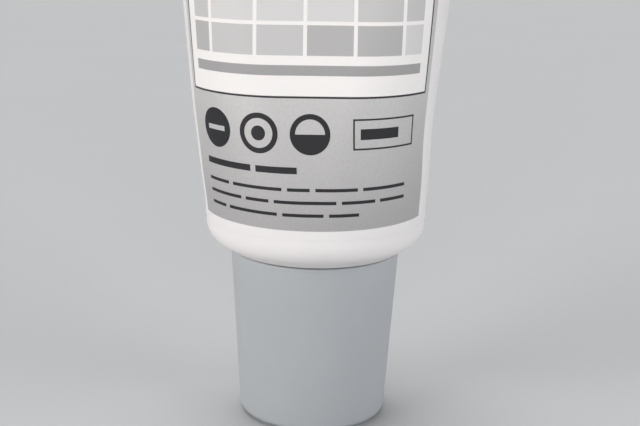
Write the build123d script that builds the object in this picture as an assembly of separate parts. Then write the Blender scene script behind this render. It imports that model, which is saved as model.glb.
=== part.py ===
from build123d import *
from math import cos, pi, radians, sin, tan
import os

# A squeeze tube of sealant that stands upside down on its tapered screw cap.
# Millimetres, +Z up. The origin is the middle of the cap's flat end, the crimp runs along X, the front is -Y

# Sleeve: a round film tube, pressed flat at the far end
tube_diameter = 40.0
sleeve_length = 122.0      # from the shoulder's round to the crimp
round_length = 4.2         # stretch above the shoulder that stays round
fold_patches = 12          # narrow patches that each round fold is lofted in, which need few facets

# Crimp: the sleeve's two walls, welded together
crimp_height = 8.0
crimp_thickness = 1.0

# Shoulder, collar and neck, moulded as one piece onto the sleeve
shoulder_height = 5.1      # from the cap's seat to where the sleeve is upright
shoulder_radius = 4.5
shoulder_slope = 32.0      # degrees from level, of the cone below the round
collar_length = 8.0
neck_diameter = 11.0
neck_length = 6.5
lead_in = 0.6              # chamfer where a screwed piece starts

# Cap: a tapered shell with a straight threaded mouth
cap_height = 31.5
cap_end_diameter = 27.0
cap_mouth_diameter = 30.8
cap_wall = 1.4
cap_end_wall = 2.0
cap_mouth_wall = 2.1
cap_mouth_depth = 10.0
cap_edge_radius = 1.5
cap_inner_bevel = 1.0      # chamfer where the wall meets the end inside
cap_rim_bevel = 0.3        # chamfers of the rim's two edges

# Nozzle: a fluted skirt round the neck, then a cone with a closed tip that is cut off for use
skirt_wall = 2.0
skirt_flute_count = 16
skirt_flute_radius = 0.8
nozzle_cone_base = 10.4
nozzle_tip_diameter = 4.2
nozzle_tip_wall = 1.2
nozzle_wall = 1.1
nozzle_tip_bevel = 0.6

# Clearances
cap_seat_gap = 0.4         # cap's rim to the shoulder
cap_thread_room = 1.0      # collar to the cap's mouth, taken up by the thread
neck_thread_room = 0.25    # neck to the nozzle's skirt
neck_end_room = 0.5        # neck's end to the bottom of the nozzle's socket
nozzle_tip_room = 4.6      # nozzle's tip to the inside of the cap's end

# Places that follow from those sizes
tube_radius = tube_diameter / 2
seal_half = crimp_thickness / 2
shoulder_z = cap_height + cap_seat_gap
sleeve_z = shoulder_z + shoulder_height
fold_z = sleeve_z + round_length
crimp_z = sleeve_z + sleeve_length
fold_x = pi * (tube_radius - seal_half) / 2     # half the crimp's flat stretch, as long round as the tube
collar_z = shoulder_z - collar_length
neck_z = collar_z - neck_length
cap_mouth_radius = cap_mouth_diameter / 2
cap_end_radius = cap_end_diameter / 2
cap_bore_radius = cap_mouth_radius - cap_mouth_wall
collar_radius = cap_bore_radius - cap_thread_room
neck_radius = neck_diameter / 2
socket_radius = neck_radius + neck_thread_room
socket_z = neck_z - neck_end_room
skirt_radius = socket_radius + skirt_wall
tip_z = cap_end_wall + nozzle_tip_room


def cap_radius(height):
    """Radius of the cap's tapered outside at a height above its flat end."""
    return cap_end_radius + (cap_mouth_radius - cap_end_radius) * height / cap_height


def half_disc(middle_x, radius, height):
    """The half of a disc on its +X side, with its round drawn as a row of short arcs."""
    step = 180 / fold_patches
    outline = [CenterArc((middle_x, 0), radius, -90 + index * step, step) for index in range(fold_patches)]
    outline.append(Line((middle_x, radius), (middle_x, -radius)))
    return Pos(0, 0, height) * make_face(outline)


def make_sleeve():
    """The sleeve from round to flat, as film folds: straight lines run up it, and its girth stays the same.

    Two round folds narrow towards the crimp, and the wedge between them gives the flat front and back.
    """
    fold = loft([half_disc(0, tube_radius, fold_z), half_disc(fold_x, seal_half, crimp_z)], ruled=True)
    front_view = Polyline((0, fold_z), (fold_x, crimp_z), (-fold_x, crimp_z), close=True)
    side_view = Polyline(
        (-tube_radius, fold_z),
        (tube_radius, fold_z),
        (seal_half, crimp_z),
        (-seal_half, crimp_z),
        close=True,
    )
    front_wedge = extrude(Plane.XZ * make_face(front_view), tube_radius, both=True)
    side_wedge = extrude(Plane.YZ * make_face(side_view), fold_x, both=True)
    return fold + mirror(fold, about=Plane.YZ) + (front_wedge & side_wedge)


def make_tube_body():
    """Sleeve, crimp, shoulder, collar and neck, filled and sealed, as one solid."""
    flat = SlotCenterToCenter(2 * fold_x, crimp_thickness)
    crimp = extrude(Pos(0, 0, crimp_z) * flat, crimp_height)
    slope = radians(shoulder_slope)
    round_middle = tube_radius - shoulder_radius
    cone_radius = round_middle + shoulder_radius * sin(slope)
    cone_z = sleeve_z - shoulder_radius * cos(slope)
    seat_radius = cone_radius - (cone_z - shoulder_z) / tan(slope)
    lower = [
        (0, fold_z),
        (0, neck_z),
        (neck_radius - lead_in, neck_z),
        (neck_radius, neck_z + lead_in),
        (neck_radius, collar_z),
        (collar_radius - lead_in, collar_z),
        (collar_radius, collar_z + lead_in),
        (collar_radius, shoulder_z),
        (seat_radius, shoulder_z),
        (cone_radius, cone_z),
    ]
    outline = [
        Polyline(*lower),
        CenterArc((round_middle, sleeve_z), shoulder_radius, shoulder_slope - 90, 90 - shoulder_slope),
        Polyline((tube_radius, sleeve_z), (tube_radius, fold_z), (0, fold_z)),
    ]
    moulded = revolve(Plane.XZ * make_face(outline), Axis.Z)
    return moulded + make_sleeve() + crimp


def make_nozzle():
    """A hollow cone on a fluted skirt, its closed tip pointing down into the cap."""
    cone_base = nozzle_cone_base / 2
    tip = nozzle_tip_diameter / 2
    outside = [
        (0, collar_z),
        (skirt_radius, collar_z),
        (skirt_radius, socket_z - nozzle_wall),
        (cone_base, socket_z - nozzle_wall),
        (tip, tip_z),
        (0, tip_z),
    ]
    shell = revolve(Plane.XZ * make_face(Polyline(*outside, close=True)), Axis.Z)
    shell = chamfer(shell.edges().group_by(Axis.Z)[0], nozzle_tip_bevel)
    inside = [
        (0, collar_z),
        (socket_radius, collar_z),
        (socket_radius, socket_z),
        (cone_base - nozzle_wall, socket_z),
        (tip - nozzle_wall, tip_z + nozzle_tip_wall),
        (0, tip_z + nozzle_tip_wall),
    ]
    channel = revolve(Plane.XZ * make_face(Polyline(*inside, close=True)), Axis.Z)
    skirt_height = collar_z - socket_z + nozzle_wall
    flute = Cylinder(skirt_flute_radius, skirt_height)
    middle_z = collar_z - skirt_height / 2
    flutes = Pos(0, 0, middle_z) * PolarLocations(skirt_radius, skirt_flute_count) * flute
    return shell - channel - flutes


def make_cap():
    """A tapered shell, closed and flat at its foot, open at the shoulder."""
    bore_z = cap_height - cap_mouth_depth
    outside = [(0, 0), (cap_end_radius, 0), (cap_mouth_radius, cap_height), (0, cap_height)]
    shell = revolve(Plane.XZ * make_face(Polyline(*outside, close=True)), Axis.Z)
    shell = fillet(shell.edges().group_by(Axis.Z)[0], cap_edge_radius)
    inside = [
        (0, cap_end_wall),
        (cap_radius(cap_end_wall) - cap_wall, cap_end_wall),
        (cap_bore_radius, bore_z),
        (cap_bore_radius, cap_height),
        (0, cap_height),
    ]
    hollow = revolve(Plane.XZ * make_face(Polyline(*inside, close=True)), Axis.Z)
    hollow = chamfer(hollow.edges().group_by(Axis.Z)[0], cap_inner_bevel)
    shell = shell - hollow
    return chamfer(shell.edges().group_by(Axis.Z)[-1], cap_rim_bevel)


os.makedirs("parts", exist_ok=True)
export_step(make_tube_body(), "parts/tube_body.step")
export_step(make_nozzle(), "parts/nozzle.step")
export_step(make_cap(), "parts/cap.step")
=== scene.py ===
"""Looks for a squeeze tube of sealant that stands on its tapered cap, laid out as a Blender add-on."""
import math

import bmesh
import bpy
from bpy.props import FloatProperty, FloatVectorProperty, IntProperty, PointerProperty
from mathutils import Matrix, Vector, noise


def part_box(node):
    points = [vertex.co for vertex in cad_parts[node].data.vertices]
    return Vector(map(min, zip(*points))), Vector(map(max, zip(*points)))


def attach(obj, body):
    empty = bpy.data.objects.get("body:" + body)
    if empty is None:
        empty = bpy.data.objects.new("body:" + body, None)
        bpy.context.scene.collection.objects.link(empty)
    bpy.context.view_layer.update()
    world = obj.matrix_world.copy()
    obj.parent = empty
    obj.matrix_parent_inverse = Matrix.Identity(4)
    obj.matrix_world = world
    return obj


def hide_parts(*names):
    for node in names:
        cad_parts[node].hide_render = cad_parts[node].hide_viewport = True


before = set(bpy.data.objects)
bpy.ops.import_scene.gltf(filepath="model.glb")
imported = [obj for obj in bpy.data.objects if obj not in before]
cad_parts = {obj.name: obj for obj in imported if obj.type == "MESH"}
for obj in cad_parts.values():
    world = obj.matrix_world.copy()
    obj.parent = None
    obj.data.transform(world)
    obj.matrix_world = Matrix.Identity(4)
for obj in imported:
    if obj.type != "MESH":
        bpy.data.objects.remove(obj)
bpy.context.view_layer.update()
BODY_LOW, BODY_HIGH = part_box("tube_body")
NOZZLE_LOW, NOZZLE_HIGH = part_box("nozzle")
CAP_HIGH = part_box("cap")[1]

bl_info = {
    "name": "Caulk tube looks",
    "version": (1, 0, 0),
    "blender": (4, 5, 0),
    "location": "View3D > Sidebar > Caulk tube",
    "description": "Makes a squeeze tube's printed sleeve, shoulder, nozzle and cap, with their finishes",
    "category": "Object",
}

MM = 0.001
PRINT_MAP = "Print"
IMAGE_WIDTH = 640                   # pixels across the image that the lens is given for
SENSOR_WIDTH = 36.0                 # millimetres across the camera's sensor
SHARP_ANGLE = math.radians(35)      # edges that turn more than this stay crisp
FLAT_MARGIN = 0.2 * MM              # how far the smooth shading of a round runs on into a flat stretch

# Math settings that put two masks together: where both are 1, and the first without the second
OVERLAP = {"operation": "MULTIPLY"}
CUT_OUT = {"operation": "SUBTRACT", "use_clamp": True}

# Points of a small round, in shares of its radius: how far from the end each lies, and how far drawn in
WELD_ROUND = ((1.0, 0.0), (0.3, 0.3), (0.0, 1.0))
CRIMP_ROUND = ((1.0, 0.0), (0.25, 0.3), (0.0, 1.0))
GROOVE_SHARES = (0.2, 0.45, 0.7)    # where the sealing jaws' lines lie, as shares of the crimp's height


def linear(code):
    """An sRGB hex colour as the linear red, green and blue that Blender's colours hold."""
    shares = [int(code[at:at + 2], 16) / 255 for at in (1, 3, 5)]
    return tuple(c / 12.92 if c <= 0.04045 else ((c + 0.055) / 1.055) ** 2.4 for c in shares)


def length(name, description, default):
    """A property that is a length, with its default in millimetres."""
    return FloatProperty(
        name=name, description=description, default=default * MM, unit="LENGTH", precision=4
    )


def angle(name, description, default):
    """A property that is an angle, with its default in degrees."""
    return FloatProperty(name=name, description=description, default=math.radians(default), subtype="ANGLE")


def colour(name, description, code):
    """A property that is a colour, with its default as sRGB hex."""
    return FloatVectorProperty(
        name=name, description=description, default=linear(code), subtype="COLOR", size=3, min=0, max=1
    )


class TubeSizes(bpy.types.PropertyGroup):
    """The film sleeve with its crimp, and the shoulder, collar and neck moulded onto it."""

    diameter: length("Diameter", "Round end of the sleeve", (BODY_HIGH.y - BODY_LOW.y) / MM)
    sleeve_length: length("Sleeve length", "From the shoulder's round to the crimp", 122.0)
    round_length: length("Round length", "Stretch above the shoulder that stays round", 4.2)
    fold_ease: length("Fold ease", "Stretch over which the folds and flat sides start", 4.0)
    crimp_height: length("Crimp height", "Height of the welded band", 8.0)
    crimp_thickness: length("Crimp thickness", "Both walls together", 1.0)
    crimp_edge: length("Crimp edge", "Round of the crimp's upper edge", 0.2)
    groove_depth: length("Groove depth", "Depth of the lines that the sealing jaws leave", 0.09)
    groove_mouth: length("Groove mouth", "Half the width of such a line at the surface", 0.35)
    groove_floor: length("Groove floor", "Half the width of such a line at its floor", 0.15)
    weld_rise: length("Weld height", "From the shoulder's round up to the edge of the film", 0.75)
    weld_round: length("Weld round", "How far the film and the shoulder round off where they meet", 0.02)
    weld_draw: length("Weld draw", "How far the weld draws the film in", 0.12)
    draw_height: length("Draw height", "Where it is drawn in most, above the shoulder's round", 1.0)
    draw_reach: length("Draw reach", "Stretch over which it is drawn in", 3.5)
    belly: length("Belly", "How far the film swells just above the weld", 0.12)
    belly_height: length("Belly height", "Where it swells most, above the shoulder's round", 9.5)
    belly_reach: length("Belly reach", "Stretch over which it swells", 4.0)
    lean: length("Lean", "How far the soft sleeve stands to one side of its cap", -0.68)
    lean_start: length("Lean start", "Stretch above the shoulder over which it leans out", 22.0)
    lean_end: length("Lean end", "Stretch below the crimp over which it comes back", 60.0)
    dents: length("Dents", "Depth of the soft waves in the film", 0.1)
    dent_span: length("Dent span", "Width of one such wave", 26.0)
    dent_ease: length("Dent ease", "Stretch at both ends of the sleeve over which the waves set in", 20.0)
    shoulder_height: length("Shoulder height", "From the cap's seat to where the sleeve is upright", 5.1)
    shoulder_radius: length("Shoulder radius", "Round between the sleeve and the shoulder's slope", 4.5)
    shoulder_slope: angle("Shoulder slope", "Slope under the round, from level", 32.0)
    collar_radius: length("Collar radius", "Root of the thread that holds the cap", 12.3)
    neck_radius: length("Neck radius", "Spout that the nozzle is screwed onto", 5.5)
    lead_in: length("Lead-in", "Chamfer where a screwed piece starts", 0.6)
    columns: IntProperty(name="Columns", description="Points round the sleeve", default=320, min=32)
    rows: IntProperty(name="Rows", description="Rows of points up the sleeve", default=110, min=16)


class PrintLayout(bpy.types.PropertyGroup):
    """The print on the sleeve's front.

    Places are along the film, from the front's middle and the print's foot.
    """

    shift: length("Shift", "Print's middle from the sleeve's middle", -1.2)
    tilt: angle("Tilt", "How far the print runs uphill to the right", 0.37)
    foot: length("Foot", "Height of the print's lower edge above the floor", 39.55)
    field_width: length("Field width", "Width of the grey field", 48.5)
    field_height: length("Field height", "Height of the grey field", 106.0)
    marks_height: length("Marks height", "Middle of the row of round marks, above the print's foot", 16.2)
    panel_foot: length("Panel foot", "Lower line of the white panel, above the print's foot", 22.45)
    panel_width: length("Panel width", "Width of the white panel, between its lines", 45.6)
    panel_height: length("Panel height", "Height of the white panel", 62.0)
    line: length("Line", "Width of the dark line round the panel", 0.34)
    # The panel is printed white, set lighter than the film as painted light, where the flattened sleeve
    # tilts toward the lamps
    white: colour("White ink", "Panel behind the picture", "#FDF9F6")
    ink: colour("Field ink", "Silver-grey field, by the panel", "#D3D1D0")
    # The field's colour by its foot is darker: painted shade, where less light reaches the lower field
    ink_foot_painted_shade: colour("Field ink at the foot", "Silver-grey field, by its lower edge", "#B8B6B6")
    dark: colour("Dark ink", "Lines and marks", "#26262A")
    tile_dark: colour("Tile ink, dark", "Darkest tile in the panel", "#A9A7A7")
    tile_light: colour("Tile ink, light", "Lightest tile in the panel", "#DEDCDB")


class CapSizes(bpy.types.PropertyGroup):
    """The tapered cap, a shell with a straight threaded mouth."""

    end_radius: length("End radius", "Flat end, before its edge is rounded", 13.5)
    mouth_radius: length("Mouth radius", "Rim, before its edge is rounded", 15.4)
    wall: length("Wall", "Wall at the flat end", 1.4)
    end_wall: length("End wall", "Thickness of the flat end", 2.0)
    bore_radius: length("Bore radius", "Straight threaded mouth", 13.3)
    bore_depth: length("Bore depth", "Depth of the threaded mouth", 10.0)
    edge_radius: length("Edge radius", "Round of the flat end's outer edge", 1.5)
    inner_radius: length("Inner radius", "Round where the wall meets the end inside", 1.0)
    rim_round: length("Rim round", "Round of the rim's two edges", 0.3)
    columns: IntProperty(name="Columns", description="Points round the cap", default=256, min=32)


class NozzleSizes(bpy.types.PropertyGroup):
    """The fluted skirt and closed cone under the cap."""

    socket_radius: length("Socket radius", "Inside of the skirt, round the neck", 5.75)
    socket_room: length("Socket room", "From the neck's end to the bottom of the socket", 0.5)
    skirt_radius: length("Skirt radius", "Outside of the skirt", 7.75)
    skirt_height: length("Skirt height", "From the collar to the cone", 8.1)
    skirt_top_edge: length("Skirt's top edge", "Bevel of the skirt's edge by the collar", 0.15)
    skirt_foot_edge: length("Skirt's foot edge", "Bevel of the skirt's edge by the cone", 0.2)
    flute_radius: length("Flute radius", "Each grip flute's round", 0.8)
    flute_count: IntProperty(name="Flutes", description="Grip flutes round the skirt", default=16, min=3)
    flute_columns: IntProperty(name="Columns", description="Points for each flute", default=20, min=8)
    cone_radius: length("Cone radius", "Cone where it leaves the skirt", 5.2)
    cone_root: length("Cone root", "Bevel where the cone leaves the skirt", 0.3)
    tip_radius: length("Tip radius", "Closed tip", 2.1)
    tip_round: length("Tip round", "Round of the tip's edge", 0.6)
    tip_wall: length("Tip wall", "Thickness of the closed tip", 1.2)
    wall: length("Wall", "Wall of the cone", 1.1)


class ThreadSizes(bpy.types.PropertyGroup):
    """The coarse thread between collar and cap."""

    start: length("Start", "From the collar's end to the middle of the ridge", 1.4)
    pitch: length("Pitch", "Rise of the thread in one turn", 3.0)
    height: length("Height", "How far the ridge stands out", 0.65)
    sunk: length("Sunk", "How deep the ridge's foot lies in its wall", 0.12)
    root_width: length("Root width", "Ridge where it leaves the wall", 1.4)
    crest_width: length("Crest width", "Top of the ridge", 0.6)
    turns: FloatProperty(name="Turns", description="Length of the ridge", default=1.9)
    fade: FloatProperty(name="Fade", description="Share of the ridge that sinks at each end", default=0.1)
    columns: IntProperty(name="Columns", description="Steps along the ridge", default=180, min=32)


class PlasticColours(bpy.types.PropertyGroup):
    """Colours of the mouldings."""

    film: colour("Film", "White sleeve and shoulder", "#F7F3F2")
    cap: colour("Cap", "Blue-grey cap", "#B5B9BC")
    nozzle: colour("Nozzle", "Natural nozzle", "#EDECE6")


class StageSettings(bpy.types.PropertyGroup):
    """Camera, light and floor."""

    camera_distance: length("Camera distance", "From the point on the tube's axis that it is set by", 238.3)
    camera_elevation: angle("Camera elevation", "Above the horizon", 14.92)
    camera_roll: angle("Camera roll", "Turn about the view", 1.22)
    aim_height: length("Aim height", "Height of the point that the camera looks at", 37.6)
    aim_right: length("Aim to the right", "How far right of the axis the camera looks", 0.8)
    lens_pixels: FloatProperty(name="Lens", description="Focal length in the image's pixels", default=1300.0)
    floor_reach: length("Floor reach", "Level floor, out to where the backdrop bends up from it", 5400.0)
    backdrop_round: length("Backdrop round", "Radius of the backdrop's bend", 4000.0)
    backdrop_height: length("Backdrop height", "Upper edge of the backdrop", 1150.0)
    floor_colour: colour("Floor", "Plain pale floor and backdrop", "#BABBBC")
    sky_colour: colour("Surround", "Even light from all round", "#F4F6FA")
    sky_strength: FloatProperty(name="Surround strength", description="How bright it is", default=0.06)


GROUPS = {
    "caulk_tube": TubeSizes,
    "caulk_print": PrintLayout,
    "caulk_cap": CapSizes,
    "caulk_nozzle": NozzleSizes,
    "caulk_thread": ThreadSizes,
    "caulk_colours": PlasticColours,
    "caulk_stage": StageSettings,
}


def add(tree, kind, settings=(), inputs=()):
    """Adds a node, sets its properties, and links or sets its inputs."""
    made = tree.nodes.new(kind)
    for name, value in dict(settings).items():
        setattr(made, name, value)
    for key, value in dict(inputs).items():
        if isinstance(value, bpy.types.NodeSocket):
            tree.links.new(value, made.inputs[key])
        else:
            made.inputs[key].default_value = value
    return made


def new_material(name):
    """An empty material with its tree, its shader and its output."""
    material = bpy.data.materials.new(name)
    material.use_nodes = True
    tree = material.node_tree
    tree.nodes.clear()
    shader = add(tree, "ShaderNodeBsdfPrincipled")
    add(tree, "ShaderNodeOutputMaterial", inputs={"Surface": shader.outputs["BSDF"]})
    return material, tree, shader


def box_mask(tree, place, middle, half):
    """1 inside a rectangle of the print, 0 outside it."""
    away = add(tree, "ShaderNodeVectorMath", {"operation": "SUBTRACT"}, {0: place, 1: (*middle, 0)})
    size = add(tree, "ShaderNodeVectorMath", {"operation": "ABSOLUTE"}, {0: away.outputs[0]})
    past = add(tree, "ShaderNodeVectorMath", {"operation": "SUBTRACT"}, {0: size.outputs[0], 1: (*half, 0)})
    split = add(tree, "ShaderNodeSeparateXYZ", inputs={0: past.outputs[0]})
    inputs = {0: split.outputs["X"], 1: split.outputs["Y"]}
    most = add(tree, "ShaderNodeMath", {"operation": "MAXIMUM"}, inputs)
    inside = add(tree, "ShaderNodeMath", {"operation": "LESS_THAN"}, {0: most.outputs[0], 1: 0.0})
    return inside.outputs[0]


def ring_mask(tree, place, middle, radius, half_line):
    """1 on a ring of the print, 0 off it. A disc is a ring whose half line is its radius, at radius 0."""
    reach = add(tree, "ShaderNodeVectorMath", {"operation": "DISTANCE"}, {0: place, 1: (*middle, 0)})
    off = add(tree, "ShaderNodeMath", {"operation": "SUBTRACT"}, {0: reach.outputs["Value"], 1: radius})
    gap = add(tree, "ShaderNodeMath", {"operation": "ABSOLUTE"}, {0: off.outputs[0]})
    inside = add(tree, "ShaderNodeMath", {"operation": "LESS_THAN"}, {0: gap.outputs[0], 1: half_line})
    return inside.outputs[0]


def any_of(tree, masks):
    """1 where any of the masks is 1."""
    found = masks[0]
    for mask in masks[1:]:
        found = add(tree, "ShaderNodeMath", {"operation": "MAXIMUM"}, {0: found, 1: mask}).outputs[0]
    return found


def lay_inks(tree, under, *coats):
    """Colours laid one over another. Each coat is a colour and its mask, which is 1 where it covers."""
    shown = under
    for over, mask in coats:
        # Inputs 6 and 7 are the two colours of this node, and output 2 is the colour that they give
        inputs = {"Factor": mask, 6: shown, 7: over}
        shown = add(tree, "ShaderNodeMix", {"data_type": "RGBA"}, inputs).outputs[2]
    return shown


def print_place(tree, layout):
    """The place on the print: X along the film from the print's middle, Y up from the print's foot."""
    film = add(tree, "ShaderNodeUVMap", {"uv_map": PRINT_MAP})
    inputs = {
        "Vector": film.outputs["UV"],
        "Location": (-layout.shift, -layout.foot, 0),
        "Rotation": (0, 0, -layout.tilt),
    }
    return add(tree, "ShaderNodeMapping", {"vector_type": "POINT"}, inputs).outputs[0]


def round_marks(tree, place, middle_y):
    """Three plain round marks in a row: a disc with a bar cut out, a ring with a dot, a half-filled ring."""
    left, centre, right = (-16.6 * MM, -7.8 * MM, 1.0 * MM)
    radius = 3.4 * MM
    half_line = 0.45 * MM
    half_bar = (2.1 * MM, 0.42 * MM)
    dot_radius = 1.25 * MM
    disc = ring_mask(tree, place, (left, middle_y), 0.0, radius)
    bar = box_mask(tree, place, (left, middle_y), half_bar)
    barred = add(tree, "ShaderNodeMath", CUT_OUT, {0: disc, 1: bar}).outputs[0]
    ring = ring_mask(tree, place, (centre, middle_y), radius - half_line, half_line)
    dot = ring_mask(tree, place, (centre, middle_y), 0.0, dot_radius)
    rim = ring_mask(tree, place, (right, middle_y), radius - half_line, half_line)
    full = ring_mask(tree, place, (right, middle_y), 0.0, radius)
    lower = box_mask(tree, place, (right, middle_y - radius / 2), (radius, radius / 2))
    filled = add(tree, "ShaderNodeMath", OVERLAP, {0: full, 1: lower}).outputs[0]
    return [barred, ring, dot, rim, filled]


def framed_bar(tree, place, middle_y):
    """A bar in a thin frame, to the right of the round marks."""
    middle_x = 14.2 * MM
    half_frame = (6.0 * MM, 2.6 * MM)
    line = 0.3 * MM
    bar_shift = -1.1 * MM
    half_bar = (3.6 * MM, 0.9 * MM)
    outer = box_mask(tree, place, (middle_x, middle_y), half_frame)
    inner = box_mask(tree, place, (middle_x, middle_y), [side - line for side in half_frame])
    edge = add(tree, "ShaderNodeMath", CUT_OUT, {0: outer, 1: inner}).outputs[0]
    bar = box_mask(tree, place, (middle_x + bar_shift, middle_y), half_bar)
    return [edge, bar]


def dashes(tree, place):
    """Rows of plain dashes under the marks: a thick row, then three finer ones."""
    start = -20.0 * MM
    gap = 0.95 * MM
    # Each row's height above the print's foot, its thickness and its dashes' lengths, in millimetres
    rows = (
        (10.2, 1.1, (10.5, 7.2)),
        (7.0, 0.56, (5.6, 9.4, 3.8, 7.2, 8.6)),
        (4.85, 0.56, (8.2, 4.4, 10.6, 6.0, 5.4)),
        (2.7, 0.56, (4.2, 9.8, 7.0, 5.2)),
    )
    found = []
    for height, thickness, spans in rows:
        reach = start
        for span in spans:
            half = (span / 2 * MM, thickness / 2 * MM)
            found.append(box_mask(tree, place, (reach + half[0], height * MM), half))
            reach += 2 * half[0] + gap
    return found


def panel_picture(tree, place, layout):
    """Wall tiles in three greys above a plain bead, on the panel's white."""
    tile = (8.4 * MM, 5.6 * MM)
    half_joint = 0.32 * MM
    grey_step = 0.34
    side_margin = 2.0 * MM
    wall_y = layout.panel_foot + 6.3 * MM
    wall_height = layout.panel_height - 9.0 * MM
    bead_y = layout.panel_foot + 4.2 * MM
    half_bead = 0.85 * MM
    # The panel's white is partly painted light: lighter than the film for the sleeve's tilt toward the lamps
    white, light, dark = [(*shade, 1) for shade in (layout.white, layout.tile_light, layout.tile_dark)]

    # Each tile's grey is one of three steps, drawn by its place in the wall
    moved = add(tree, "ShaderNodeVectorMath", {"operation": "SUBTRACT"}, {0: place, 1: (0, wall_y, 0)})
    inputs = {0: moved.outputs[0], 1: (*tile, 1)}
    counted = add(tree, "ShaderNodeVectorMath", {"operation": "DIVIDE"}, inputs)
    whole = add(tree, "ShaderNodeVectorMath", {"operation": "FLOOR"}, {0: counted.outputs[0]})
    chance = add(tree, "ShaderNodeTexWhiteNoise", {"noise_dimensions": "2D"}, {"Vector": whole.outputs[0]})
    stepped = add(tree, "ShaderNodeMath", {"operation": "SNAP"}, {0: chance.outputs["Value"], 1: grey_step})
    tints = lay_inks(tree, light, (dark, stepped.outputs[0]))

    part = add(tree, "ShaderNodeVectorMath", {"operation": "FRACTION"}, {0: counted.outputs[0]})
    half_face = [0.5 - half_joint / side for side in tile]
    face = box_mask(tree, part.outputs[0], (0.5, 0.5), half_face)
    half_width = layout.panel_width / 2 - side_margin
    wall = box_mask(tree, place, (0, wall_y + wall_height / 2), (half_width, wall_height / 2))
    tiles = add(tree, "ShaderNodeMath", OVERLAP, {0: face, 1: wall}).outputs[0]
    bead = box_mask(tree, place, (0, bead_y), (half_width, half_bead))
    return lay_inks(tree, white, (tints, tiles), (dark, bead))


def printed_film():
    """Polyethylene film, blown and then printed: an even satin white, with fine lines up it from the die.

    The silver-grey ink holds flakes, so it shines a little and falls darker on the shaded side.
    Its colour is also painted darker towards the field's foot, which is painted shade.
    """
    layout = bpy.context.scene.caulk_print
    white = tuple(bpy.context.scene.caulk_colours.film)
    material, tree, shader = new_material("printed_polyethylene_film")
    place = print_place(tree, layout)
    half_field = (layout.field_width / 2, layout.field_height / 2)
    field = box_mask(tree, place, (0, half_field[1]), half_field)
    panel_middle = (0, layout.panel_foot + layout.panel_height / 2)
    half_panel = (layout.panel_width / 2, layout.panel_height / 2)
    half_outline = [side + layout.line for side in half_panel]
    panel = box_mask(tree, place, panel_middle, half_panel)
    outline = box_mask(tree, place, panel_middle, half_outline)
    marks = round_marks(tree, place, layout.marks_height)
    marks += framed_bar(tree, place, layout.marks_height)
    marks += dashes(tree, place)

    # Flakes in the ink, drawn as coarse as half a millimetre so that they show
    flake = 0.5 * MM
    flakes = add(tree, "ShaderNodeTexNoise", inputs={"Vector": place, "Scale": 1 / flake, "Detail": 3.0})
    inputs = {"Value": flakes.outputs["Fac"], "To Min": 0.88, "To Max": 1.07}
    grain = add(tree, "ShaderNodeMapRange", inputs=inputs)
    # The field is painted darker towards its foot, blending to the plain ink at the panel: painted shade
    rise = add(tree, "ShaderNodeSeparateXYZ", inputs={0: place}).outputs["Y"]
    fade = add(tree, "ShaderNodeMapRange", inputs={"Value": rise, "From Max": layout.panel_foot})
    shaded = lay_inks(tree, (*layout.ink_foot_painted_shade, 1), ((*layout.ink, 1), fade.outputs[0]))
    ink = add(tree, "ShaderNodeVectorMath", {"operation": "SCALE"}, {0: shaded, "Scale": grain.outputs[0]})

    # The film's white drifts a little over stretches of some 20 mm
    cloud = 22 * MM
    drift = add(tree, "ShaderNodeTexNoise", inputs={"Vector": place, "Scale": 1 / cloud, "Detail": 2.0})
    inputs = {"Value": drift.outputs["Fac"], "To Min": 0.975, "To Max": 1.0}
    tint = add(tree, "ShaderNodeMapRange", inputs=inputs)
    film = add(tree, "ShaderNodeVectorMath", {"operation": "SCALE"}, {0: white, "Scale": tint.outputs[0]})

    dark = (*layout.dark, 1)
    shown = lay_inks(
        tree,
        film.outputs[0],
        (ink.outputs[0], field),
        (dark, outline),
        (panel_picture(tree, place, layout), panel),
        (dark, any_of(tree, marks)),
    )
    tree.links.new(shown, shader.inputs["Base Color"])

    # Flakes make the ink partly metallic, and rougher than the bare film
    silver = add(tree, "ShaderNodeMath", CUT_OUT, {0: field, 1: outline}).outputs[0]
    sheen = add(tree, "ShaderNodeMapRange", inputs={"Value": silver, "To Min": 0.0, "To Max": 0.24})
    tree.links.new(sheen.outputs[0], shader.inputs["Metallic"])
    added_roughness = 0.1
    inputs = {"Value": flakes.outputs["Fac"], "To Min": 0.38, "To Max": 0.48}
    satin = add(tree, "ShaderNodeMapRange", inputs=inputs)
    inputs = {0: silver, 1: added_roughness, 2: satin.outputs[0]}
    rough = add(tree, "ShaderNodeMath", {"operation": "MULTIPLY_ADD"}, inputs)
    tree.links.new(rough.outputs[0], shader.inputs["Roughness"])

    # Die lines run up the film: a noise stretched along it, drawn a third of a millimetre wide to show
    line_width, line_length = (0.35 * MM, 30 * MM)
    inputs = {"Vector": place, "Scale": (1 / line_width, 1 / line_length, 1.0)}
    along = add(tree, "ShaderNodeMapping", {"vector_type": "POINT"}, inputs)
    lines = add(tree, "ShaderNodeTexNoise", inputs={"Vector": along.outputs[0], "Scale": 1.0, "Detail": 2.0})
    inputs = {"Height": lines.outputs["Fac"], "Strength": 0.12, "Distance": 0.03 * MM}
    bump = add(tree, "ShaderNodeBump", inputs=inputs)
    tree.links.new(bump.outputs[0], shader.inputs["Normal"])
    shader.inputs["IOR"].default_value = 1.51
    shader.inputs["Subsurface Weight"].default_value = 0.12
    shader.inputs["Subsurface Radius"].default_value = (1.0, 0.9, 0.85)
    shader.inputs["Subsurface Scale"].default_value = 1.2 * MM
    return material


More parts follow.
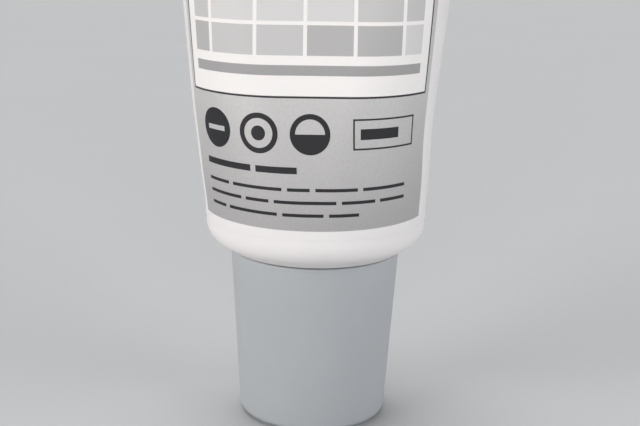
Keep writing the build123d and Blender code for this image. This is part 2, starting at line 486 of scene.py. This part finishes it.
def moulded_plastic(name, base, ior, roughness, grit, depth, depth_inside):
    """A moulded polyolefin: the tool's fine grit prints a faint orange-peel grain, and the colour drifts.

    grit is the grain's size, drawn coarser than the real one so that it shows, and depth is its height.
    depth_inside is how far light wanders under the surface.
    """
    cloud = 9 * MM          # stretches over which the colour drifts
    spread = 0.05           # how far the roughness varies either way
    material, tree, shader = new_material(name)
    place = add(tree, "ShaderNodeTexCoord").outputs["Object"]
    peel = add(tree, "ShaderNodeTexNoise", inputs={"Vector": place, "Scale": 1 / grit, "Detail": 3.0})
    drift = add(tree, "ShaderNodeTexNoise", inputs={"Vector": place, "Scale": 1 / cloud, "Detail": 2.0})
    inputs = {"Value": drift.outputs["Fac"], "To Min": 0.965, "To Max": 1.02}
    tint = add(tree, "ShaderNodeMapRange", inputs=inputs)
    inputs = {0: tuple(base), "Scale": tint.outputs[0]}
    shown = add(tree, "ShaderNodeVectorMath", {"operation": "SCALE"}, inputs)
    tree.links.new(shown.outputs[0], shader.inputs["Base Color"])
    inputs = {"Value": peel.outputs["Fac"], "To Min": roughness - spread, "To Max": roughness + spread}
    rough = add(tree, "ShaderNodeMapRange", inputs=inputs)
    tree.links.new(rough.outputs[0], shader.inputs["Roughness"])
    inputs = {"Height": peel.outputs["Fac"], "Strength": 0.25, "Distance": depth}
    bump = add(tree, "ShaderNodeBump", inputs=inputs)
    tree.links.new(bump.outputs[0], shader.inputs["Normal"])
    shader.inputs["IOR"].default_value = ior
    shader.inputs["Subsurface Weight"].default_value = 0.1
    shader.inputs["Subsurface Radius"].default_value = (1.0, 0.9, 0.85)
    shader.inputs["Subsurface Scale"].default_value = depth_inside
    return material


def loops_to_object(name, loops, material, places=None, closed=True):
    """A mesh through rings of points, with flat faces over the first ring and, where it is closed, the last.

    places gives a point of the film for each ring and column, with one column more than the ring has.
    """
    count = len(loops[0])
    points = [point for loop in loops for point in loop]
    faces = [tuple(range(count - 1, -1, -1))]
    for row in range(len(loops) - 1):
        start = row * count
        for column in range(count):
            beside = (column + 1) % count
            faces.append((start + column, start + beside, start + count + beside, start + count + column))
    if closed:
        faces.append(tuple(range(len(points) - count, len(points))))
    mesh = bpy.data.meshes.new(name)
    mesh.from_pydata(points, [], faces)
    if places:
        layer = mesh.uv_layers.new(name=PRINT_MAP)
        for face in mesh.polygons:
            wraps = len(face.vertices) == 4 and {v % count for v in face.vertices} == {0, count - 1}
            for corner in face.loop_indices:
                row, column = divmod(mesh.loops[corner].vertex_index, count)
                layer.uv[corner].vector = places[row][count if wraps and column == 0 else column]
    made = bmesh.new()
    made.from_mesh(mesh)
    bmesh.ops.recalc_face_normals(made, faces=made.faces)
    made.to_mesh(mesh)
    made.free()
    mesh.shade_smooth()
    mesh.set_sharp_from_angle(angle=SHARP_ANGLE)
    mesh.materials.append(material)
    piece = bpy.data.objects.new(name, mesh)
    bpy.context.scene.collection.objects.link(piece)
    return piece


def lathe(profile, count):
    """Rings of points round Z, one for each radius and height of a profile."""
    turns = [2 * math.pi * at / count for at in range(count)]
    return [[Vector((r * math.cos(t), r * math.sin(t), z)) for t in turns] for r, z in profile]


def held_flat(profile):
    """A profile with a point added near both ends of each long stretch, so that its shading stays flat."""
    points = [Vector(point) for point in profile]
    kept = points[:1]
    for start, end in zip(points, points[1:]):
        step = (end - start).normalized() * FLAT_MARGIN
        if (end - start).length > 4 * FLAT_MARGIN:
            kept += [start + step, end - step]
        kept.append(end)
    return kept


def arc(middle, radius, start, end, steps):
    """Points of a profile's round, from one angle to another in degrees."""
    turns = [math.radians(start + (end - start) * at / steps) for at in range(steps + 1)]
    return [(middle[0] + radius * math.cos(t), middle[1] + radius * math.sin(t)) for t in turns]


def ease(share):
    """A share from 0 to 1 that starts and ends gently."""
    share = min(max(share, 0.0), 1.0)
    return share * share * (3 - 2 * share)


def film_swell(sizes, above):
    """How far the film stands out from its true section at a height above the shoulder's round."""
    drawn = math.exp(-(((above - sizes.draw_height) / sizes.draw_reach) ** 2))
    swollen = math.exp(-(((above - sizes.belly_height) / sizes.belly_reach) ** 2))
    return sizes.belly * swollen - sizes.weld_draw * drawn


def folded_section(radius, seal, way, along):
    """The sleeve's section: points and outward normals at distances along the film from the front's middle.

    way runs from 0 where the sleeve is round to 1 where it is flat. Its girth stays the same all the way.
    """
    fold = radius + (seal - radius) * way
    straight = math.pi * (radius - fold) / 2
    found = []
    for distance in along:
        side = math.copysign(1, distance)
        far = abs(distance)
        turn = min(max((far - straight) / fold, 0.0), math.pi)
        back = max(far - straight - math.pi * fold, 0.0)
        normal = Vector((side * math.sin(turn), -math.cos(turn)))
        middle = Vector((side * (min(far, straight) - back), 0))
        found.append((middle + fold * normal, normal))
    return found


def sleeve_rows(sizes, sleeve_z, crimp_z):
    """Heights up the sleeve, each with how far it is drawn in: film's edge, sleeve, grooves, top edge."""
    weld_z = sleeve_z + sizes.weld_rise
    bend = sizes.weld_round
    rows = [(weld_z + away * bend, drawn * bend) for away, drawn in reversed(WELD_ROUND)]
    # A row as far again from the weld keeps the round's shading off the long faces
    start = weld_z + 2 * bend
    rows += [(start + (crimp_z - start) * at / sizes.rows, 0.0) for at in range(sizes.rows + 1)]
    mouth, floor, depth = sizes.groove_mouth, sizes.groove_floor, sizes.groove_depth
    for share in GROOVE_SHARES:
        middle = crimp_z + share * sizes.crimp_height
        rows += [(middle - mouth, 0.0), (middle - floor, depth)]
        rows += [(middle + floor, depth), (middle + mouth, 0.0)]
    top = crimp_z + sizes.crimp_height
    edge = sizes.crimp_edge
    return rows + [(top - away * edge, drawn * edge) for away, drawn in CRIMP_ROUND]


class CAULK_OT_sleeve(bpy.types.Operator):
    """Make the printed film sleeve, from its weld at the shoulder to the flat crimp"""

    bl_idname = "caulk.sleeve"
    bl_label = "Make sleeve"

    def execute(self, context):
        sizes = context.scene.caulk_tube
        radius, seal = sizes.diameter / 2, sizes.crimp_thickness / 2
        crimp_z = BODY_HIGH.z - sizes.crimp_height
        sleeve_z = crimp_z - sizes.sleeve_length
        fold_z = sleeve_z + sizes.round_length
        around = 2 * math.pi * radius
        along = [around * (at / sizes.columns - 0.5) for at in range(sizes.columns + 1)]
        loops, places = [], []
        for height, inset in sleeve_rows(sizes, sleeve_z, crimp_z):
            above, below = height - sleeve_z, crimp_z - height
            past = height - fold_z
            eased = (past + math.hypot(past, sizes.fold_ease)) / 2
            way = min(eased / (crimp_z - fold_z), 1.0)
            swell = film_swell(sizes, above) - inset
            soft = ease(above / sizes.dent_ease) * ease(below / sizes.dent_ease)
            lean = sizes.lean * ease(above / sizes.lean_start) * ease(below / sizes.lean_end)
            loop = []
            for point, normal in folded_section(radius, seal, way, along[:-1]):
                spot = Vector((point.x, point.y, height)) / sizes.dent_span
                moved = point + normal * (swell + sizes.dents * soft * noise.noise(spot))
                loop.append(Vector((moved.x + lean, moved.y, height)))
            loops.append(loop)
            places.append([(distance, height) for distance in along])
        sleeve = loops_to_object("printed_sleeve", loops, printed_film(), places)
        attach(sleeve, "tube")
        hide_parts("tube_body")
        return {"FINISHED"}


class CAULK_OT_shoulder(bpy.types.Operator):
    """Make the moulded shoulder with its collar and neck"""

    bl_idname = "caulk.shoulder"
    bl_label = "Make shoulder"

    def execute(self, context):
        sizes = context.scene.caulk_tube
        radius, lead = sizes.diameter / 2, sizes.lead_in
        sleeve_z = BODY_HIGH.z - sizes.crimp_height - sizes.sleeve_length
        shoulder_z = sleeve_z - sizes.shoulder_height
        collar_z = NOZZLE_HIGH.z
        weld_z = sleeve_z + sizes.weld_rise
        slope, bend = sizes.shoulder_slope, sizes.shoulder_radius
        cone_radius = radius - bend + bend * math.sin(slope)
        cone_z = sleeve_z - bend * math.cos(slope)
        seat_radius = cone_radius - (cone_z - shoulder_z) / math.tan(slope)
        profile = [
            (sizes.neck_radius - lead, BODY_LOW.z),
            (sizes.neck_radius, BODY_LOW.z + lead),
            (sizes.neck_radius, collar_z),
            (sizes.collar_radius - lead, collar_z),
            (sizes.collar_radius, collar_z + lead),
            (sizes.collar_radius, shoulder_z),
            (seat_radius, shoulder_z),
        ]
        profile += arc((radius - bend, sleeve_z), bend, start=math.degrees(slope) - 90, end=0, steps=20)
        weld = sizes.weld_round
        # A point as far again from the weld keeps the round's shading off the faces below
        profile.append((radius, weld_z - 2 * weld))
        profile += [(radius - drawn * weld, weld_z - away * weld) for away, drawn in WELD_ROUND]
        swells = [film_swell(sizes, z - sleeve_z) if z > shoulder_z else 0.0 for _, z in profile]
        profile = [(r + swell, z) for (r, z), swell in zip(profile, swells)]
        # HDPE, injection moulded in one shot with the neck: a smooth satin white, close to the film's
        white = moulded_plastic(
            "moulded_white_polyethylene",
            base=context.scene.caulk_colours.film,
            ior=1.54,
            roughness=0.42,
            grit=0.4 * MM,
            depth=0.03 * MM,
            depth_inside=1.2 * MM,
        )
        shoulder = loops_to_object("moulded_shoulder", lathe(held_flat(profile), sizes.columns), white)
        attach(shoulder, "tube")
        return {"FINISHED"}


class CAULK_OT_cap(bpy.types.Operator):
    """Make the tapered cap"""

    bl_idname = "caulk.cap"
    bl_label = "Make cap"

    def execute(self, context):
        sizes = context.scene.caulk_cap
        top = CAP_HIGH.z
        slope = math.degrees(math.atan2(sizes.mouth_radius - sizes.end_radius, top))
        lean = math.tan(math.radians(slope))
        edge, rim, inner = sizes.edge_radius, sizes.rim_round, sizes.inner_radius
        edge_r = sizes.end_radius + lean * edge - edge / math.cos(math.radians(slope))
        rim_r = sizes.mouth_radius - lean * rim - rim
        floor_r = sizes.end_radius + lean * sizes.end_wall - sizes.wall
        profile = arc((edge_r, edge), edge, start=-90, end=-slope, steps=14)
        profile += arc((rim_r, top - rim), rim, start=-slope, end=90, steps=6)
        profile += arc((sizes.bore_radius + rim, top - rim), rim, start=90, end=180, steps=6)
        profile.append((sizes.bore_radius, top - sizes.bore_depth))
        profile += arc((floor_r - inner, sizes.end_wall + inner), inner, start=0, end=-90, steps=8)
        # Polypropylene, injection moulded in a blasted tool: a satin blue-grey with a broad, weak shine
        grey = moulded_plastic(
            "moulded_grey_polypropylene",
            base=context.scene.caulk_colours.cap,
            ior=1.49,
            roughness=0.46,
            grit=0.3 * MM,
            depth=0.045 * MM,
            depth_inside=0.5 * MM,
        )
        cap = loops_to_object("tapered_cap", lathe(held_flat(profile), sizes.columns), grey)
        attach(cap, "cap")
        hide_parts("cap")
        return {"FINISHED"}


def fluted_ring(sizes, count, height, inset):
    """A ring of points round the nozzle's skirt, drawn in at each flute, and by the inset all round."""
    pitch = 2 * math.pi / sizes.flute_count
    ring = []
    for at in range(count):
        turn = 2 * math.pi * at / count
        away = (turn + pitch / 2) % pitch - pitch / 2
        across = sizes.skirt_radius * math.sin(away)
        reach = sizes.skirt_radius
        if abs(across) < sizes.flute_radius:
            reach = sizes.skirt_radius * math.cos(away) - math.sqrt(sizes.flute_radius**2 - across**2)
        reach -= inset
        ring.append(Vector((reach * math.cos(turn), reach * math.sin(turn), height)))
    return ring


class CAULK_OT_nozzle(bpy.types.Operator):
    """Make the closed nozzle with its fluted skirt"""

    bl_idname = "caulk.nozzle"
    bl_label = "Make nozzle"

    def execute(self, context):
        sizes = context.scene.caulk_nozzle
        count = sizes.flute_count * sizes.flute_columns
        top, tip = NOZZLE_HIGH.z, NOZZLE_LOW.z
        foot = top - sizes.skirt_height
        socket_z = BODY_LOW.z - sizes.socket_room
        root, round_off = sizes.cone_root, sizes.tip_round
        inside = [
            (sizes.wall, tip + sizes.tip_wall),
            (sizes.cone_radius - sizes.wall, socket_z),
            (sizes.socket_radius, socket_z),
            (sizes.socket_radius, top),
        ]
        loops = lathe(inside, count)
        loops.append(fluted_ring(sizes, count, top, sizes.skirt_top_edge))
        loops.append(fluted_ring(sizes, count, top - sizes.skirt_top_edge, 0.0))
        loops.append(fluted_ring(sizes, count, foot + sizes.skirt_foot_edge, 0.0))
        loops.append(fluted_ring(sizes, count, foot, sizes.skirt_foot_edge))
        cone = [(sizes.cone_radius + root, foot), (sizes.cone_radius, foot - root)]
        cone += arc((sizes.tip_radius - round_off, tip + round_off), round_off, start=0, end=-90, steps=8)
        loops += lathe(held_flat(cone), count)
        # LDPE with no pigment, injection moulded: a milky white that lets a little light through
        milky = moulded_plastic(
            "moulded_natural_polyethylene",
            base=context.scene.caulk_colours.nozzle,
            ior=1.51,
            roughness=0.36,
            grit=0.35 * MM,
            depth=0.02 * MM,
            depth_inside=2.5 * MM,
        )
        nozzle = loops_to_object("screw_on_nozzle", loops, milky)
        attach(nozzle, "tube")
        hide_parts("nozzle")
        return {"FINISHED"}


def thread_loops(sizes, wall_radius, outward, start_z, start_turn):
    """Rings of four points along a helical ridge, which rises out of its wall and sinks back at its ends."""
    least_height = 0.02     # share of the height that the very ends keep, so that no face is empty
    least_width = 0.4       # share of the root's width that they keep
    root = wall_radius - outward * sizes.sunk
    loops = []
    for at in range(sizes.columns + 1):
        share = at / sizes.columns
        full = max(min(1.0, share / sizes.fade, (1 - share) / sizes.fade), least_height)
        turn = start_turn + 2 * math.pi * sizes.turns * share
        middle = start_z + sizes.pitch * sizes.turns * share
        crest = wall_radius + outward * sizes.height * full
        half_root = sizes.root_width / 2 * (least_width + (1 - least_width) * full)
        half_crest = sizes.crest_width / 2 * full
        corners = [
            (root, middle - half_root),
            (crest, middle - half_crest),
            (crest, middle + half_crest),
            (root, middle + half_root),
        ]
        loops.append([Vector((r * math.cos(turn), r * math.sin(turn), z)) for r, z in corners])
    return loops


class CAULK_OT_threads(bpy.types.Operator):
    """Make the thread on the collar and the thread in the cap's mouth"""

    bl_idname = "caulk.threads"
    bl_label = "Make threads"

    def execute(self, context):
        scene = context.scene
        sizes = scene.caulk_thread
        start_z = NOZZLE_HIGH.z + sizes.start
        outer = thread_loops(sizes, scene.caulk_tube.collar_radius, 1, start_z, 0.0)
        collar = loops_to_object("collar_thread", outer, bpy.data.materials["moulded_white_polyethylene"])
        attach(collar, "tube")
        # Half a turn on, so that the two ridges lie between each other
        inner = thread_loops(sizes, scene.caulk_cap.bore_radius, -1, start_z, math.pi)
        mouth = loops_to_object("cap_thread", inner, bpy.data.materials["moulded_grey_polypropylene"])
        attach(mouth, "cap")
        return {"FINISHED"}


def soft_light(name, right, rise, spread, power, tint):
    """A broad, even light, as a large softbox some way off gives.

    right is how far it stands to the right of the front, rise how far above the floor and spread how wide it
    is, all in degrees.
    """
    light = bpy.data.lights.new(name, "SUN")
    light.angle = math.radians(spread)
    light.energy = power
    light.color = linear(tint)
    lamp = bpy.data.objects.new(name, light)
    lamp.rotation_euler = (math.radians(90 - rise), 0, math.radians(right))
    lamp.location = lamp.rotation_euler.to_matrix() @ Vector((0, 0, 1))
    bpy.context.scene.collection.objects.link(lamp)


def pale_floor(shade):
    """Painted board: a plain pale matt surface with hardly any shine and the faintest unevenness."""
    cloud_size = 60 * MM
    material, tree, shader = new_material("painted_board")
    place = add(tree, "ShaderNodeTexCoord").outputs["Object"]
    cloud = add(tree, "ShaderNodeTexNoise", inputs={"Vector": place, "Scale": 1 / cloud_size, "Detail": 2.0})
    inputs = {"Value": cloud.outputs["Fac"], "To Min": 0.985, "To Max": 1.015}
    tint = add(tree, "ShaderNodeMapRange", inputs=inputs)
    inputs = {0: tuple(shade), "Scale": tint.outputs[0]}
    shown = add(tree, "ShaderNodeVectorMath", {"operation": "SCALE"}, inputs)
    tree.links.new(shown.outputs[0], shader.inputs["Base Color"])
    shader.inputs["Roughness"].default_value = 0.95
    shader.inputs["Specular IOR Level"].default_value = 0.15
    return material


class CAULK_OT_stage(bpy.types.Operator):
    """Make the floor, the soft studio light and the camera"""

    bl_idname = "caulk.stage"
    bl_label = "Make stage"

    def execute(self, context):
        scene = context.scene
        settings = scene.caulk_stage
        self.make_floor(settings)
        soft_light("key_softbox", right=-58, rise=17, spread=44, power=2.2, tint="#FFFDFC")
        soft_light("front_softbox", right=0, rise=22, spread=40, power=0.6, tint="#FFFFFF")
        soft_light("fill_softbox", right=64, rise=20, spread=50, power=1.5, tint="#FAFCFF")
        soft_light("top_softbox", right=195, rise=65, spread=50, power=2.15, tint="#FFFFFF")
        world = bpy.data.worlds.new("studio_surround")
        world.use_nodes = True
        surround = world.node_tree.nodes["Background"]
        surround.inputs["Color"].default_value = (*settings.sky_colour, 1)
        surround.inputs["Strength"].default_value = settings.sky_strength
        scene.world = world
        scene.view_settings.view_transform = "Standard"
        self.make_camera(scene, settings)
        return {"FINISHED"}

    def make_floor(self, settings):
        """A level floor that bends up all round into a low backdrop."""
        reach, bend = settings.floor_reach, settings.backdrop_round
        swept = math.degrees(math.acos(1 - settings.backdrop_height / bend))
        profile = arc((reach, bend), bend, start=-90, end=swept - 90, steps=24)
        rings = lathe(profile, count=96)
        floor = loops_to_object("floor", rings, pale_floor(settings.floor_colour), closed=False)

    def make_camera(self, scene, settings):
        """A camera in front of the tube and a little above it, as near as its rings' perspective shows."""
        rise = settings.camera_elevation
        axis_point = Vector((0, 0, settings.aim_height))
        place = axis_point + settings.camera_distance * Vector((0, -math.cos(rise), math.sin(rise)))
        back = (place - axis_point - Vector((settings.aim_right, 0, 0))).normalized()
        right = Vector((0, 0, 1)).cross(back).normalized()
        up = back.cross(right)
        turn = Matrix((right, up, back)).transposed() @ Matrix.Rotation(settings.camera_roll, 3, "Z")
        lens = bpy.data.cameras.new("photo_camera")
        lens.sensor_width = SENSOR_WIDTH
        lens.lens = settings.lens_pixels * SENSOR_WIDTH / IMAGE_WIDTH
        lens.clip_start = 10 * MM
        camera = bpy.data.objects.new("photo_camera", lens)
        camera.matrix_world = Matrix.Translation(place) @ turn.to_4x4()
        scene.collection.objects.link(camera)
        scene.camera = camera


class CAULK_PT_panel(bpy.types.Panel):
    """Sizes, colours and steps of the tube's looks"""

    bl_idname = "CAULK_PT_panel"
    bl_label = "Caulk tube"
    bl_space_type = "VIEW_3D"
    bl_region_type = "UI"
    bl_category = "Caulk tube"

    def draw(self, context):
        layout = self.layout
        for name, group in GROUPS.items():
            box = layout.box()
            box.label(text=group.__doc__.split(".")[0])
            for key in group.__annotations__:
                box.prop(getattr(context.scene, name), key)
        for step in STEPS:
            layout.operator(step.bl_idname)


STEPS = (
    CAULK_OT_sleeve,
    CAULK_OT_shoulder,
    CAULK_OT_nozzle,
    CAULK_OT_cap,
    CAULK_OT_threads,
    CAULK_OT_stage,
)


def register():
    """Registers the settings, steps and panel, and hangs the settings on the scene."""
    for kind in (*GROUPS.values(), *STEPS, CAULK_PT_panel):
        bpy.utils.register_class(kind)
    for name, group in GROUPS.items():
        setattr(bpy.types.Scene, name, PointerProperty(type=group))


def unregister():
    """Takes back what register did, in the other order."""
    for name in GROUPS:
        delattr(bpy.types.Scene, name)
    for kind in (CAULK_PT_panel, *reversed(STEPS), *reversed(GROUPS.values())):
        bpy.utils.unregister_class(kind)


def main():
    """Registers the add-on and runs the steps in order."""
    register()
    bpy.ops.caulk.sleeve()
    bpy.ops.caulk.shoulder()
    bpy.ops.caulk.nozzle()
    bpy.ops.caulk.cap()
    bpy.ops.caulk.threads()
    bpy.ops.caulk.stage()


if __name__ == "__main__":
    main()
